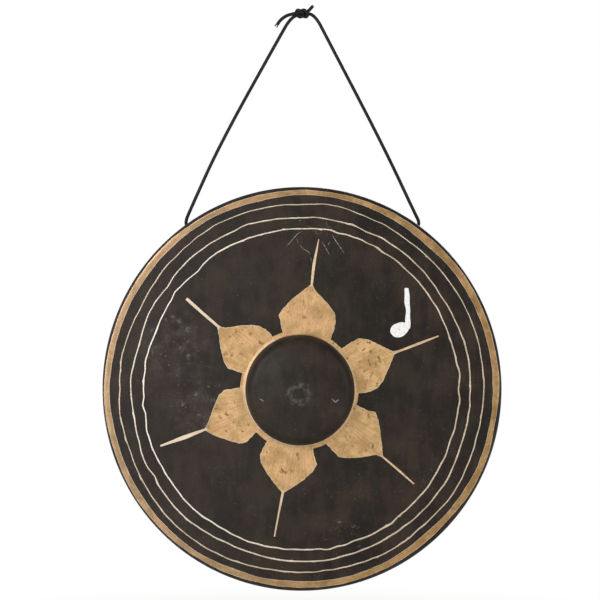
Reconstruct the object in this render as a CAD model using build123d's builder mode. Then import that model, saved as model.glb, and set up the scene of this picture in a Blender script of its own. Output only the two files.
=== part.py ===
"""Bossed (nipple) gong of sheet brass, hung on one loop of braided cord.

The gong hangs as in use: +Z is up and the decorated face looks toward -Y.
The origin is the hang point, where a hook's saddle touches the cord just under its knot.
The plane Y = 0 holds the cord, both cord holes and the gong's centre of mass, so it hangs plumb.
"""

import os
from math import cos, pi, radians, sin, tan

from build123d import *

# --- driving dimensions, mm and degrees --------------------------------------------------
gong_radius = 240.0
gong_drop = 444.8  # hang point down to the gong's centre
sheet = 2.0  # brass sheet
rim_depth = 84.0  # front of the face's edge to the back edge of the rim
rim_taper = 5.0  # the rim narrows toward the back
shoulder_radius = 5.0  # turned edge between face and rim
flange_depth = 8.0  # depth of that turned edge, where the rim band is welded on
face_crown = 3.0  # the face stands forward this much from its edge to the boss
hole_setback = 15.5  # front of the face's edge to the cord holes

boss_radius = 65.5
boss_height = 29.0
boss_crown = 8.0  # fall of the boss's crown from its middle to its knuckle
boss_draft = 3.0  # lean of the boss's wall, from foot to crown
boss_knuckle = 12.0
boss_foot = 2.5

cord_diameter = 4.0
cord_angle = 35.3  # where the cord passes the rim, from the top of the gong
hole_diameter = 9.0
hole_shift = 2.0  # the cord bears near the upper side of its hole
bend_reach = 4.2  # middle of the rim's wall to the route's corners on each side of it

knot_height = 5.6  # hang point up to the knot's centre
knot_radius = 5.6
knot_end_radius = 3.2
knot_half_length = 7.0

weld_half_width = 2.4
weld_top_half_width = 1.2
weld_rise = 1.3
seam_gap = 1.6
seam_angle = 192.0  # from the top of the gong, clockwise from the front
seam_bead_radius = 3.0
seam_bead_round = 1.0
seam_start = 3.4  # middle of the ring weld to the seam's bead
seam_end = 3.0  # the bead's end to the back edge
edge_break = 0.5  # back edge of the rim

arc_share = 0.45  # a cord corner's arc takes this share of the shorter run beside it
clearance = 20.0  # cutting shapes reach this far past what they cut

# --- worked out --------------------------------------------------------------------------
front_y = -hole_setback
back_y = front_y + rim_depth
lean = tan(radians(rim_taper))
sheet_across = sheet / cos(radians(rim_taper))  # the rim's wall measured along the radius
edge_corner = gong_radius + shoulder_radius * (lean + 1 / cos(radians(rim_taper)) - 1)
gong_plane = Plane.XY.offset(-gong_drop)
gong_axis = Axis((0, 0, -gong_drop), (0, 1, 0))


def rim_outer(y):
    """Radius of the rim's outer surface at a depth y."""
    return edge_corner - (y - front_y) * lean


def on_rim(radius, angle):
    """A point in the plane Y = 0, at an angle from the top of the gong."""
    return Vector(radius * sin(radians(angle)), 0, radius * cos(radians(angle)) - gong_drop)


wall_middle = rim_outer(0) - sheet_across / 2  # radius of the rim's wall at the cord holes
joint_outer = Vector(rim_outer(front_y + flange_depth), front_y + flange_depth)
rim_along = Vector(-sin(radians(rim_taper)), cos(radians(rim_taper)))
rim_inward = Vector(-cos(radians(rim_taper)), -sin(radians(rim_taper)))
joint_inner = joint_outer + rim_inward * sheet
back_outer = Vector(rim_outer(back_y), back_y)
back_inner = back_outer - Vector(sheet_across, 0)

os.makedirs("parts", exist_ok=True)


# --- gong face, one hammered sheet: boss, plate and turned edge -----------------------------
crown_top = Vector(0, front_y - face_crown - boss_height)
crown_edge = crown_top + Vector(boss_radius - boss_draft, boss_crown)
crown_bend = (crown_edge.X**2 + boss_crown**2) / (2 * boss_crown)
crown_sag = crown_bend - (crown_bend**2 - crown_edge.X**2 / 4) ** 0.5
crown_middle = Vector(crown_edge.X / 2, crown_top.Y + crown_sag)
boss_corner = Vector(boss_radius, front_y - face_crown)

with BuildPart() as gong_face:
    with BuildSketch(gong_plane):
        with BuildLine() as face_front:
            ThreePointArc(crown_top, crown_middle, crown_edge)
            Polyline(crown_edge, boss_corner, (edge_corner, front_y), joint_outer)
            fillet(face_front.vertices().sort_by_distance(crown_edge)[0], boss_knuckle)
            fillet(face_front.vertices().sort_by_distance(boss_corner)[0], boss_foot)
            fillet(face_front.vertices().sort_by_distance((edge_corner, front_y))[0], shoulder_radius)
            offset(amount=sheet, side=Side.LEFT, mode=Mode.ADD)
        make_face()
    revolve(axis=gong_axis)
gong_face.part.label = "gong_face"
export_step(gong_face.part, "parts/gong_face.step")


# --- rim: a rolled band, butt-welded to the face's turned edge ------------------------------
with BuildPart() as rim_ring:
    with BuildSketch(gong_plane) as rim_section:
        with BuildLine():
            Polyline(joint_outer, joint_inner, back_inner, back_outer, close=True)
        make_face()
        chamfer(rim_section.vertices().group_by(Axis.Y)[-1], edge_break)
    revolve(axis=gong_axis)

seam_plane = Plane(
    origin=(0, 0, -gong_drop),
    x_dir=(sin(radians(seam_angle)), 0, cos(radians(seam_angle))),
    z_dir=(-cos(radians(seam_angle)), 0, sin(radians(seam_angle))),
)
with BuildPart() as seam_slot:
    with BuildSketch(seam_plane.offset(-seam_gap / 2)):
        with Locations((gong_radius, 0)):
            Rectangle(gong_radius, gong_radius)
    extrude(amount=seam_gap)

with BuildPart() as gong_rim:
    add(rim_ring.part)
    add(seam_slot.part, mode=Mode.SUBTRACT)
    for side in (-1, 1):
        hole_angle = side * (cord_angle + hole_shift / wall_middle * 180 / pi)
        outward = on_rim(1, hole_angle) - on_rim(0, 0)
        with BuildSketch(Plane(origin=on_rim(wall_middle, hole_angle), z_dir=outward)):
            Circle(hole_diameter / 2)
        extrude(amount=hole_diameter, both=True, mode=Mode.SUBTRACT)
gong_rim.part.label = "gong_rim"
export_step(gong_rim.part, "parts/gong_rim.step")


# --- welds: a ring inside the joint of face and band, and a bead across the band's ends ------
with BuildPart() as rim_weld:
    with BuildSketch(gong_plane):
        with BuildLine():
            Polyline(
                joint_inner - rim_along * weld_half_width,
                joint_inner + rim_along * weld_half_width,
                joint_inner + rim_along * weld_top_half_width + rim_inward * weld_rise,
                joint_inner - rim_along * weld_top_half_width + rim_inward * weld_rise,
                close=True,
            )
        make_face()
    revolve(axis=gong_axis)
rim_weld.part.label = "rim_weld"
export_step(rim_weld.part, "parts/rim_weld.step")

bead_start = joint_inner + rim_along * seam_start - rim_inward * (seam_bead_radius - weld_rise)
bead_length = (back_inner - joint_inner).length - seam_start - seam_end
along_seam = seam_plane.from_local_coords(rim_along) - seam_plane.origin
bead_plane = Plane(seam_plane.from_local_coords(bead_start), z_dir=along_seam)
with BuildPart() as seam_bead:
    with BuildSketch(bead_plane):
        Circle(seam_bead_radius)
    extrude(amount=bead_length)
    fillet(seam_bead.edges().filter_by(GeomType.CIRCLE), seam_bead_round)
    with BuildSketch(gong_plane):
        with BuildLine():
            Polyline(
                joint_inner - rim_along * clearance,
                back_inner + rim_along * clearance,
                back_inner + rim_along * clearance + (clearance, 0),
                joint_inner - rim_along * clearance + (clearance, 0),
                close=True,
            )
        make_face()
    revolve(axis=gong_axis, mode=Mode.SUBTRACT)

with BuildPart() as rim_seam_weld:
    add(rim_ring.part)
    add(seam_slot.part, mode=Mode.INTERSECT)
    add(seam_bead.part)
rim_seam_weld.part.label = "rim_seam_weld"
export_step(rim_seam_weld.part, "parts/rim_seam_weld.step")


# --- cord ------------------------------------------------------------------------------------
def tangent_radii(points):
    """The arc's radius at each corner of a cord's route."""
    radii = []
    for before, corner, after in zip(points, points[1:], points[2:]):
        into = corner - before
        out = after - corner
        half_turn = radians(into.get_angle(out)) / 2
        radii.append(arc_share * min(into.length, out.length) / tan(half_turn))
    return radii


def cord_path(name, points):
    """Straight runs joined by tangent arcs, with the radii printed."""
    radii = tangent_radii(points)
    print(name, "arc radii, mm:", ", ".join(f"{radius:.1f}" for radius in radii))
    with BuildLine() as line:
        FilletPolyline(*points, radius=radii)
    print(name, "length, mm:", round(line.wire().length, 1))
    return line


left_leg = [
    Vector(-8.9, 0, knot_height),
    Vector(-12.3, 0, 3.0),
    Vector(-97.4, 0, -149.1),
    Vector(-133.0, 0, -231.5),
]
right_leg = [
    Vector(8.2, 0, knot_height),
    Vector(13.2, 0, 4.3),
    Vector(18.2, 0, -0.6),
    Vector(97.6, 0, -153.2),
    Vector(135.4, 0, -231.5),
]
inner_bend = on_rim(wall_middle - bend_reach, cord_angle) + (-15.8, 0, -2.8)
through_right = [
    on_rim(wall_middle + bend_reach, cord_angle),
    on_rim(wall_middle - bend_reach, cord_angle),
    inner_bend,
]
through_left = [Vector(-point.X, 0, point.Z) for point in through_right]
loop_route = left_leg + through_left + through_right[::-1] + right_leg[::-1]

loop_line = cord_path("cord_loop", loop_route)
with BuildPart() as cord_loop:
    with BuildSketch(Plane(origin=loop_line.line @ 0, z_dir=loop_line.line % 0)):
        Circle(cord_diameter / 2)
    sweep(path=loop_line.wire())
cord_loop.part.label = "cord_loop"
export_step(cord_loop.part, "parts/cord_loop.step")
section = pi * cord_diameter**2 / 4
print("cord_loop volume over section x length:", cord_loop.part.volume / section / loop_line.wire().length)

# the knot is round about the line the legs swing on, so they clear it at every angle
with BuildPart() as cord_knot:
    with BuildSketch(Plane.XY.offset(knot_height)):
        with BuildLine():
            ThreePointArc(
                (-knot_half_length, knot_end_radius),
                (0, knot_radius),
                (knot_half_length, knot_end_radius),
            )
            Polyline(
                (-knot_half_length, knot_end_radius),
                (-knot_half_length, 0),
                (knot_half_length, 0),
                (knot_half_length, knot_end_radius),
            )
        make_face()
    revolve(axis=Axis((0, 0, knot_height), (1, 0, 0)))
cord_knot.part.label = "cord_knot"
export_step(cord_knot.part, "parts/cord_knot.step")

tail_routes = {
    "cord_tail_left": [
        Vector(-4.5, -2.4, 9.2),
        Vector(-11.5, -2.7, 9.9),
        Vector(-19.5, -2.2, 6.6),
        Vector(-25.6, -1.6, 0.4),
        Vector(-29.0, -1.0, -6.9),
    ],
    "cord_tail_right": [
        Vector(2.0, 1.0, 5.2),
        Vector(8.0, 1.3, 10.5),
        Vector(13.3, 1.0, 14.8),
    ],
}
for tail_name, tail_route in tail_routes.items():
    tail_line = cord_path(tail_name, tail_route)
    with BuildPart() as cord_tail:
        with BuildSketch(Plane(origin=tail_line.line @ 0, z_dir=tail_line.line % 0)):
            Circle(cord_diameter / 2)
        sweep(path=tail_line.wire())
        add(cord_knot.part, mode=Mode.SUBTRACT)
    cord_tail.part.label = tail_name
    export_step(cord_tail.part, f"parts/{tail_name}.step")
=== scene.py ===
"""Looks of a bossed gong on its cord: hammered brass under worn black lacquer, with scraped decoration.

Lengths are in millimetres until a mesh is made, and metres from there on. Angles on the gong are in
degrees, counter-clockwise from its right side as seen from the front.
"""

import math

import bpy
import numpy as np
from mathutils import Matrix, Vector


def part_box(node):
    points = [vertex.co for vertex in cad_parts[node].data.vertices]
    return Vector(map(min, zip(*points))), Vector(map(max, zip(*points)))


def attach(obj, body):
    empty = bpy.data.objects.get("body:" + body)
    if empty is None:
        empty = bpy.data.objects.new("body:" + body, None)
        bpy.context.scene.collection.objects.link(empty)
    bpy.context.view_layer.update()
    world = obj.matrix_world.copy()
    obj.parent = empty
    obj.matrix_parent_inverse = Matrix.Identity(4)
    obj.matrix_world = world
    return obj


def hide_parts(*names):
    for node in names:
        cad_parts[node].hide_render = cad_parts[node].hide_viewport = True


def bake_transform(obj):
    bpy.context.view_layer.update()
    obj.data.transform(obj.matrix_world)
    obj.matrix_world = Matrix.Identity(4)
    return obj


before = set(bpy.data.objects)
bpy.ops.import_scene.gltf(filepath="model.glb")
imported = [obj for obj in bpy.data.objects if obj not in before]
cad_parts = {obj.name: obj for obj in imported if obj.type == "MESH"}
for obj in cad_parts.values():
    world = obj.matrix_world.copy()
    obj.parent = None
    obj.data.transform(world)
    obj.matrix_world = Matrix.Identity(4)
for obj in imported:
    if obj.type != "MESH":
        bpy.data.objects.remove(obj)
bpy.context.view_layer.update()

MM = 0.001

# --- the gong's sizes, from the frame ---
face_low, face_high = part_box("gong_face")
rim_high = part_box("gong_rim")[1]
GONG_RADIUS = (face_high.x - face_low.x) / 2 / MM
CENTRE_Z = (face_high.z + face_low.z) / 2 / MM
BOSS_TOP = face_low.y / MM
JOINT_Y = face_high.y / MM  # the face's turned edge ends here and the rim band begins
BACK_Y = rim_high.y / MM

# --- sizes repeated from the CAD model ---
FRONT_Y = -15.5
SHEET = 2.0
RIM_TAPER = math.radians(5.0)
SHOULDER = 5.0
FACE_CROWN = 3.0
BOSS_RADIUS = 65.5
BOSS_CROWN = 8.0
BOSS_DRAFT = 3.0
KNUCKLE = 12.0
FOOT = 2.5
HOLE_RADIUS = 4.5
HOLE_ANGLE = 35.3 + math.degrees(2.0 / 238.1)  # each side of the top
SEAM_ANGLE = 90.0 - 192.0
CORD = 4.0
KNOT_CENTRE = Vector((0.0, 0.0, 5.6))

EDGE_CORNER = GONG_RADIUS + SHOULDER * (math.tan(RIM_TAPER) + 1 / math.cos(RIM_TAPER) - 1)
ACROSS = SHEET / math.cos(RIM_TAPER)

# --- the cord's braid ---
STRANDS = 6
BRAID_PITCH = 15.0

# --- how the hand-made gong departs from the drawn one ---
TALLER = 0.006  # the outline is this share taller and narrower than round
BOSS_SHIFT = Vector((-2.4, -1.2))  # the boss sits a little left of and below the middle
RAISE = 0.15  # scraped brass and paint lie this far above the lacquer's mesh, to show clean edges
SINK = 0.25
BLACK_EDGE = 0.8  # nothing is scraped closer to the gong's widest place than this
RINGS_OFF = (0.25, 0.4)  # the rings' middle lies this far right of and above the gong's


# --- small helpers ---
def smoothstep(low, high, value):
    t = np.clip((value - low) / (high - low), 0.0, 1.0)
    return t * t * (3 - 2 * t)


def turns(seed, low, high, amplitude):
    """A wavy function of an angle in degrees, made of a few whole-numbered waves."""
    rng = np.random.default_rng(seed)
    orders = np.arange(low, high + 1)
    sizes = rng.uniform(0.4, 1.0, len(orders)) / np.sqrt(orders)
    sizes *= amplitude / np.sqrt((sizes**2).sum() / 2)
    phases = rng.uniform(0, 2 * np.pi, len(orders))

    def wave(angle):
        around = np.radians(np.asarray(angle, float))[..., None]
        return (sizes * np.cos(orders * around + phases)).sum(axis=-1) / np.sqrt(2)

    return wave


def polar(radius, angle):
    around = np.radians(angle)
    return radius * np.cos(around), radius * np.sin(around)


def make_mesh(name, points, faces, materials, face_materials=None):
    """A mesh object from points in millimetres, in the frame's axes."""
    mesh = bpy.data.meshes.new(name)
    mesh.from_pydata((np.asarray(points, float) * MM).tolist(), [], [list(map(int, f)) for f in faces])
    for material in materials:
        mesh.materials.append(material)
    if face_materials is not None:
        mesh.polygons.foreach_set("material_index", np.asarray(face_materials, np.int32))
    mesh.polygons.foreach_set("use_smooth", np.full(len(mesh.polygons), True))
    mesh.update()
    obj = bpy.data.objects.new(name, mesh)
    bpy.context.scene.collection.objects.link(obj)
    return obj


def grid_faces(rows, columns, wrap_rows=False, wrap_columns=False, start=0, flip=False):
    """Quads of a grid of points numbered row by row."""
    i = np.arange(rows if wrap_rows else rows - 1)
    j = np.arange(columns if wrap_columns else columns - 1)
    i, j = np.meshgrid(i, j, indexing="ij")
    i2, j2 = (i + 1) % rows, (j + 1) % columns
    quads = np.stack([i * columns + j, i2 * columns + j, i2 * columns + j2, i * columns + j2], -1)
    quads = quads.reshape(-1, 4) + start
    return quads[:, ::-1] if flip else quads


def end_fans(rows, columns):
    """Triangles that close a wrapped grid's first and last row onto two points added after it."""
    faces = []
    for j in range(columns):
        after = (j + 1) % columns
        faces.append([rows * columns, j, after])
        faces.append([rows * columns + 1, (rows - 1) * columns + after, (rows - 1) * columns + j])
    return faces


# --- the gong's surface ---
def rounded(corners, radii, spacing):
    """A polyline with its inner corners rounded, as points about a spacing apart."""
    points = [np.array(corners[0], float)]
    for before, corner, after, radius in zip(corners, corners[1:], corners[2:], radii):
        before, corner, after = (np.array(p, float) for p in (before, corner, after))
        a = (before - corner) / np.linalg.norm(before - corner)
        b = (after - corner) / np.linalg.norm(after - corner)
        half = math.acos(float(np.clip(a @ b, -1, 1))) / 2
        middle = corner + (a + b) / np.linalg.norm(a + b) * radius / math.sin(half)
        start, stop = corner + a * radius / math.tan(half), corner + b * radius / math.tan(half)
        first = math.atan2(*(start - middle)[::-1])
        sweep = math.atan2(*(stop - middle)[::-1]) - first
        sweep = (sweep + math.pi) % (2 * math.pi) - math.pi
        steps = max(6, int(abs(sweep) * radius / spacing * 2))
        angles = first + sweep * np.linspace(0, 1, steps + 1)
        straight = int(np.linalg.norm(start - points[-1]) / spacing)
        points += [points[-1] + (start - points[-1]) * t for t in np.linspace(0, 1, straight + 2)[1:-1]]
        points += [middle + radius * np.array([math.cos(t), math.sin(t)]) for t in angles]
    last = np.array(corners[-1], float)
    points += [points[-1] + (last - points[-1]) * t for t in np.linspace(0, 1, 5)[1:]]
    return np.array(points)


def rim_outer(y):
    return EDGE_CORNER - (y - FRONT_Y) * math.tan(RIM_TAPER)


crown_edge = (BOSS_RADIUS - BOSS_DRAFT, BOSS_TOP + BOSS_CROWN)
face_edge = [(BOSS_RADIUS, FRONT_Y - FACE_CROWN), (EDGE_CORNER, FRONT_Y), (rim_outer(JOINT_Y), JOINT_Y)]
PROFILE = rounded([(0.0, BOSS_TOP), crown_edge, *face_edge], [KNUCKLE, FOOT, SHOULDER], 2.5)
# the crown is a dome, not a cone: it bulges most halfway out and eases in at its middle
on_crown = np.clip(PROFILE[:, 0] / crown_edge[0], 0, 1)
PROFILE[:, 1] -= 4 * 0.22 * BOSS_CROWN * on_crown * (1 - on_crown)
tangent = np.gradient(PROFILE, axis=0)
tangent /= np.linalg.norm(tangent, axis=1)[:, None]
tangent[0] = (1.0, 0.0)
NORMALS = np.stack([tangent[:, 1], -tangent[:, 0]], -1)  # out of the sheet, toward the front
WIDEST = int(PROFILE[:, 0].argmax())


def hammer_marks(seed, count, reach):
    """Middles, depths and widths of a hammer's marks, spread in rings over the face."""
    rng = np.random.default_rng(seed)
    radius = reach * np.sqrt(rng.uniform(0.02, 1, count))
    x, z = polar(radius, rng.uniform(0, 360, count))
    return np.stack([x, z, rng.uniform(0.05, 0.17, count), rng.uniform(5.5, 10.0, count)], -1)


FACE_MARKS = hammer_marks(11, 620, 232.0)
SWELLS = [turns(seed, 1, 5, 0.3) for seed in (21, 22, 23)]


def face_relief(x, z):
    """How far the hammered face stands out from the drawn one, from hammer marks and slow swells."""
    radius = np.hypot(x, z)
    angle = np.degrees(np.arctan2(z, x))
    relief = np.zeros_like(radius)
    for mark_x, mark_z, depth, width in FACE_MARKS:
        near = np.abs(x - mark_x) + np.abs(z - mark_z) < 4 * width
        square = (x[near] - mark_x) ** 2 + (z[near] - mark_z) ** 2
        relief[near] -= depth * np.exp(-square / (2 * width**2))
    for swell, ring in zip(SWELLS, (95.0, 150.0, 205.0)):
        relief += swell(angle) * np.exp(-(((radius - ring) / 34.0) ** 2))
    return relief * (1 - smoothstep(224.0, 236.0, radius)) * smoothstep(0.0, 6.0, radius + 2.0)


def hand_made(x, z):
    """Moves points of the round gong to where the hand-made one has them."""
    angle = np.arctan2(z, x)
    stretch = 1 - TALLER * np.cos(2 * angle) + 0.0006 * np.cos(3 * angle + 0.7)
    toward_boss = 1 - smoothstep(72.0, 130.0, np.hypot(x, z))
    return x * stretch + BOSS_SHIFT.x * toward_boss, z * stretch + BOSS_SHIFT.y * toward_boss


def as_drawn(x, z):
    """The opposite of hand_made: which point of the round gong comes to lie at this place."""
    from_x, from_z = x, z
    for _ in range(3):
        moved_x, moved_z = hand_made(from_x, from_z)
        from_x, from_z = from_x + x - moved_x, from_z + z - moved_z
    return from_x, from_z


def place(x, y, z):
    x, z = hand_made(x, z)
    return np.stack([x, y, z + CENTRE_Z], -1)


def on_face(radius, angle, lift=0.0):
    """Points on the front of the face, lifted off it along its normal."""
    radius, angle = np.broadcast_arrays(np.asarray(radius, float), np.asarray(angle, float))
    upto = slice(0, WIDEST + 1)
    y = np.interp(radius, PROFILE[upto, 0], PROFILE[upto, 1])
    out = np.interp(radius, PROFILE[upto, 0], NORMALS[upto, 0])
    ahead = np.interp(radius, PROFILE[upto, 0], NORMALS[upto, 1])
    x, z = polar(radius, angle)
    height = face_relief(x, z) + lift
    x, z = polar(radius + height * out, angle)
    return place(x, y + height * ahead, z)


# --- materials ---
class Shader:
    """A material's node tree, with short calls to add nodes and join them.

    where is the place on the object, in metres. colour is the base colour as laid down so far.
    """

    def __init__(self, name):
        self.material = bpy.data.materials.new(name)
        self.material.use_nodes = True
        self.tree = self.material.node_tree
        self.surface = self.tree.nodes["Principled BSDF"]
        self.where = self.add("TexCoord").outputs["Object"]

    def add(self, kind, inputs=None, **settings):
        made = self.tree.nodes.new("ShaderNode" + kind)
        for key, value in settings.items():
            setattr(made, key, value)
        for key, value in (inputs or {}).items():
            self.put(made, key, value)
        return made

    def put(self, made, key, value):
        if isinstance(value, bpy.types.NodeSocket):
            self.tree.links.new(value, made.inputs[key])
        else:
            made.inputs[key].default_value = value

    def set(self, **inputs):
        for key, value in inputs.items():
            self.put(self.surface, key.replace("_", " "), value)

    def finish(self, **inputs):
        self.set(Base_Color=self.colour, **inputs)
        return self.material

    def show(self, shader):
        self.tree.links.new(shader.outputs[0], self.tree.nodes["Material Output"].inputs["Surface"])

    def noise(self, scale, detail, rough, distort=0.0, where=None):
        wanted = {"Scale": scale, "Detail": detail, "Roughness": rough, "Distortion": distort}
        wanted["Vector"] = self.where if where is None else where
        return self.add("TexNoise", wanted).outputs["Fac"]

    def ramp(self, value, low, high, out_low=0.0, out_high=1.0):
        wanted = {"Value": value, "From Min": low, "From Max": high, "To Min": out_low, "To Max": out_high}
        return self.add("MapRange", wanted, interpolation_type="SMOOTHSTEP").outputs["Result"]

    def patches(self, noise, *limits):
        """A ramp of a noise, which is given by its scale, detail and roughness."""
        return self.ramp(self.noise(*noise), *limits)

    def math(self, operation, first, second=0.0):
        return self.add("Math", {0: first, 1: second}, operation=operation).outputs[0]

    def times(self, first, second):
        return self.math("MULTIPLY", first, second)

    def plus(self, first, second):
        return self.math("ADD", first, second)

    def mix(self, share, first, second):
        made = self.add("Mix", data_type="RGBA")
        for index, value in ((0, share), (6, first), (7, second)):
            self.put(made, index, (*value, 1) if isinstance(value, tuple) else value)
        return made.outputs[2]

    def over(self, share, colour):
        """Lays a colour over the ones so far."""
        self.colour = self.mix(share, self.colour, colour)

    def bump(self, height, strength, distance, under=None):
        wanted = {"Height": height, "Strength": strength, "Distance": distance}
        if under is not None:
            wanted["Normal"] = under
        return self.add("Bump", wanted).outputs["Normal"]

    def streaks(self, outward, around, detail, rough, distort=0.0):
        """Noise drawn out from the gong's middle or round it. The first two say how fine it is each way."""
        parts = self.add("SeparateXYZ", {"Vector": self.where}).outputs
        up = self.plus(parts["Z"], -CENTRE_Z * MM)
        radius = self.math("SQRT", self.plus(self.times(parts["X"], parts["X"]), self.times(up, up)))
        angle = self.math("ARCTAN2", up, parts["X"])
        drawn = {"X": self.times(radius, outward), "Y": self.times(angle, around), "Z": parts["Y"]}
        drawn_out = self.add("CombineXYZ", drawn).outputs["Vector"]
        return self.noise(1.0, detail, rough, distort, where=drawn_out)

    def near(self, x, z, reach, y=FRONT_Y):
        """1 at a spot on the front, falling to 0 at a distance."""
        spot = (x * MM, y * MM, (z + CENTRE_Z) * MM)
        distance = self.add("VectorMath", {0: self.where, 1: spot}, operation="DISTANCE").outputs["Value"]
        return self.ramp(distance, reach * MM, reach * MM * 0.35)

    def toward_left(self):
        """0 on the gong's right and 1 on its left."""
        across = self.add("SeparateXYZ", {"Vector": self.where}).outputs["X"]
        return self.ramp(across, 0.1, -0.2)


def lacquer(name, gloss, painted_light_lift):
    """Thin black lacquer gone brown and green in clouds, rubbed pale in places, with painted light on its
    left side and, where asked, a painted lift of its whole colour.
    """
    made = Shader(name)
    upright = made.add("VectorMath", {0: made.where, 1: (90.0, 90.0, 22.0)}, operation="MULTIPLY")
    runs = made.noise(1.0, 4.0, 0.7, where=upright.outputs["Vector"])
    depth = made.plus(made.times(made.noise(26.0, 5.0, 0.62), 0.6), made.times(runs, 0.4))
    depth = made.ramp(depth, 0.36, 0.66)
    purple = made.mix(depth, (0.0075, 0.0044, 0.003), (0.031, 0.0182, 0.0112))
    green = made.mix(depth, (0.007, 0.0052, 0.0026), (0.0262, 0.019, 0.0092))
    made.colour = made.mix(made.patches((17.0, 3.0, 0.6), 0.42, 0.6), purple, green)
    made.over(made.patches((240.0, 4.0, 0.65), 0.6, 0.78, 0.0, 0.45), (0.052, 0.04, 0.03))
    # pale rubs: most round the top stem, some on the left, a few at the bottom
    left = made.plus(made.near(-150, 50, 58), made.near(-120, -20, 46))
    top = made.plus(made.near(16, 182, 42), made.times(made.near(60, -150, 60), 0.35))
    worn = made.plus(made.plus(made.times(left, 0.3), top), 0.14)
    rubs = made.ramp(made.streaks(300.0, 26.0, 3.0, 0.7, 0.8), 0.56, 0.74)
    bare = made.patches((34.0, 4.0, 0.7), 0.46, 0.66)
    rubbed = made.times(made.times(rubs, bare), worn)
    made.over(made.math("MINIMUM", rubbed, 0.7), (0.2, 0.178, 0.155))
    # painted light on the left side: it is laid lighter and browner, as where the light falls from the left;
    # spots on the left are also clouded and speckled
    made.over(made.times(made.toward_left(), 0.17), (0.066, 0.05, 0.046))
    clouds = made.patches((60.0, 4.0, 0.65), 0.42, 0.7, 0.0, 0.75)
    made.over(made.times(clouds, left), (0.064, 0.051, 0.048))
    speckles = made.patches((150.0, 3.0, 0.6), 0.62, 0.72, 0.0, 0.6)
    made.over(made.times(speckles, left), (0.16, 0.145, 0.13))
    # a worn ring in the middle of the boss, then dust all over
    disc, hollow = (made.near(-4.3, -4.5, reach, BOSS_TOP) for reach in (18.0, 12.5))
    blotches = made.patches((150.0, 4.0, 0.7), 0.4, 0.66, 0.0, 0.75)
    made.over(made.times(made.math("SUBTRACT", disc, hollow), blotches), (0.17, 0.16, 0.145))
    made.over(made.patches((620.0, 2.0, 0.5), 0.715, 0.76, 0.0, 0.45), (0.26, 0.235, 0.2))
    # painted light: the whole colour is lifted toward a lighter brown, so a surface that shows darker under
    # the lamps reads as light as the face
    made.over(painted_light_lift, (0.085, 0.072, 0.062))
    roughness = made.patches((60.0, 4.0, 0.7), 0.3, 0.75, 0.38, 0.62)
    normal = made.bump(made.streaks(60.0, 55.0, 4.0, 0.6), 0.18, 0.0006)
    normal = made.bump(made.noise(900.0, 3.0, 0.6), 0.22, 0.0002, normal)
    made.surface.inputs["Specular IOR Level"].default_value = gloss
    return made.finish(Roughness=roughness, Normal=normal)


def mottled(name, noise, limits, dark, light, roughness, relief, metallic=0.0):
    """A material that goes between two colours with one noise, which is its relief too."""
    made = Shader(name)
    height = made.noise(*noise)
    made.colour = made.mix(made.ramp(height, *limits), dark, light)
    return made.finish(Roughness=roughness, Metallic=metallic, Normal=made.bump(height, *relief))


def scraped_brass(name, light, dark, pits, rough, pale, strokes=(16.0, 80.0)):
    """Bare brass where the lacquer was scraped off: streaked, pitted, and paler toward the left, partly from
    its own pale residue and partly from painted light.
    """
    made = Shader(name)
    streaks = made.streaks(*strokes, 4.0, 0.7)
    cloud = made.noise(52.0, 5.0, 0.66)
    made.colour = made.mix(made.ramp(cloud, 0.38, 0.62), dark, light)
    pink = tuple(c * tint for c, tint in zip(light, (1.0, 0.9, 0.98)))
    deeper = tuple(0.62 * c for c in dark)
    made.over(made.times(made.patches((24.0, 3.0, 0.6), 0.4, 0.62), 0.45), pink)
    made.over(made.ramp(streaks, 0.42, 0.74, 0.0, 0.6), deeper)
    made.over(made.patches((330.0, 3.0, 0.6), 0.5, 0.7, 0.0, 0.42), deeper)
    # painted light, in part: the left is laid paler, as lit from the left, on top of the brass's own pale
    # residue
    made.over(made.times(made.toward_left(), pale), (0.88, 0.8, 0.72))
    pit = made.patches((150.0, 3.0, 0.55), 0.61, 0.68)
    patch = made.patches((38.0, 2.0, 0.5), 0.46, 0.58)
    gouge = made.ramp(made.streaks(110.0, 11.0, 2.0, 0.5, 0.4), 0.66, 0.72, 0.0, 0.75 * pits)
    shown = made.times(made.times(pit, patch), pits)
    made.over(made.math("MAXIMUM", shown, gouge), (0.2, 0.1, 0.038))
    normal = made.bump(pit, -0.3, 0.0004, made.bump(streaks, 0.35, 0.0004))
    roughness = made.ramp(cloud, 0.3, 0.7, *rough)
    return made.finish(Roughness=roughness, Normal=normal, Metallic=0.85)


def line_brass(name, pale):
    """The paler brass of a narrow scrape."""
    return scraped_brass(name, (0.72, 0.625, 0.49), (0.55, 0.445, 0.31), 0.15, (0.45, 0.62), pale)


def aged_brass():
    """The back: bare brass gone brown in clouds and stains, with faint marks of turning."""
    made = Shader("aged_brass")
    stains = made.noise(48.0, 5.0, 0.68, 0.6)
    turned = made.streaks(420.0, 5.0, 3.0, 0.6)
    cloud = made.patches((11.0, 6.0, 0.62), 0.34, 0.66)
    made.colour = made.mix(cloud, (0.3, 0.185, 0.08), (0.5, 0.335, 0.155))
    made.over(made.ramp(stains, 0.52, 0.74, 0.0, 0.75), (0.105, 0.058, 0.028))
    made.over(made.ramp(turned, 0.5, 0.75, 0.0, 0.25), (0.6, 0.42, 0.21))
    normal = made.bump(made.noise(520.0, 4.0, 0.6), 0.18, 0.0003, made.bump(turned, 0.12, 0.0004))
    roughness = made.ramp(stains, 0.35, 0.7, 0.36, 0.66)
    return made.finish(Roughness=roughness, Normal=normal, Metallic=0.9)


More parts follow.
